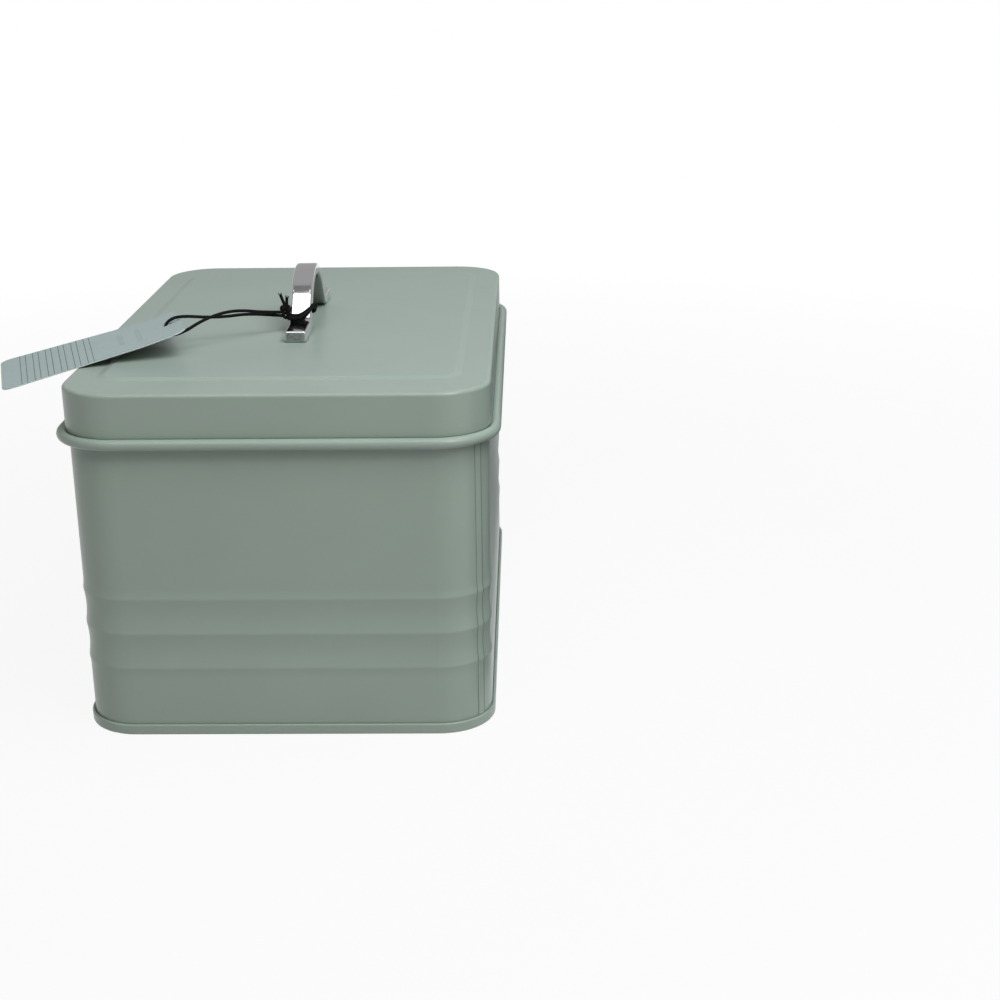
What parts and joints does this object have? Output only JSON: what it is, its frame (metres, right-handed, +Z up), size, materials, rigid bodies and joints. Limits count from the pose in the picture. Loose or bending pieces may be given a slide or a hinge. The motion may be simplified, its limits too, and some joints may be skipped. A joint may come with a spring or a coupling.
{
  "type": "washing tablet box",
  "caption": "Rectangular sheet-steel storage box with ribbed walls, rolled rim, lift-off lid, bow handle and a card swing tag on an elastic cord.",
  "frame": {"origin": "on the floor, under the middle of the box", "axes": "+X to the right across the box, +Y from front to back along its length, +Z up; the front faces -Y"},
  "size_m": [0.2246, 0.2724, 0.1774],
  "materials": {
    "painted_body": "satin sage powder coat",
    "painted_base": "satin sage powder coat",
    "painted_lid": "satin sage powder coat",
    "handle_chrome": "plated casting, polished",
    "screw_zinc": "zinc plate",
    "tag_card": "matt printed card",
    "cord_elastic": "braided black elastic"
  },
  "bodies": {
    "tin": {"body_shell": "painted_body", "base_plate": "painted_base"},
    "lid": {"lid": "painted_lid", "handle": "handle_chrome", "handle_screws": "screw_zinc", "swing_tag": "tag_card", "tag_cord": "cord_elastic", "cord_knot": "cord_elastic"}
  },
  "joints": [
    {"name": "lid_lift", "type": "slide", "parent": "tin", "child": "lid", "axis": [0, 0, 1], "range_m": [0, 0.12]}
  ]
}
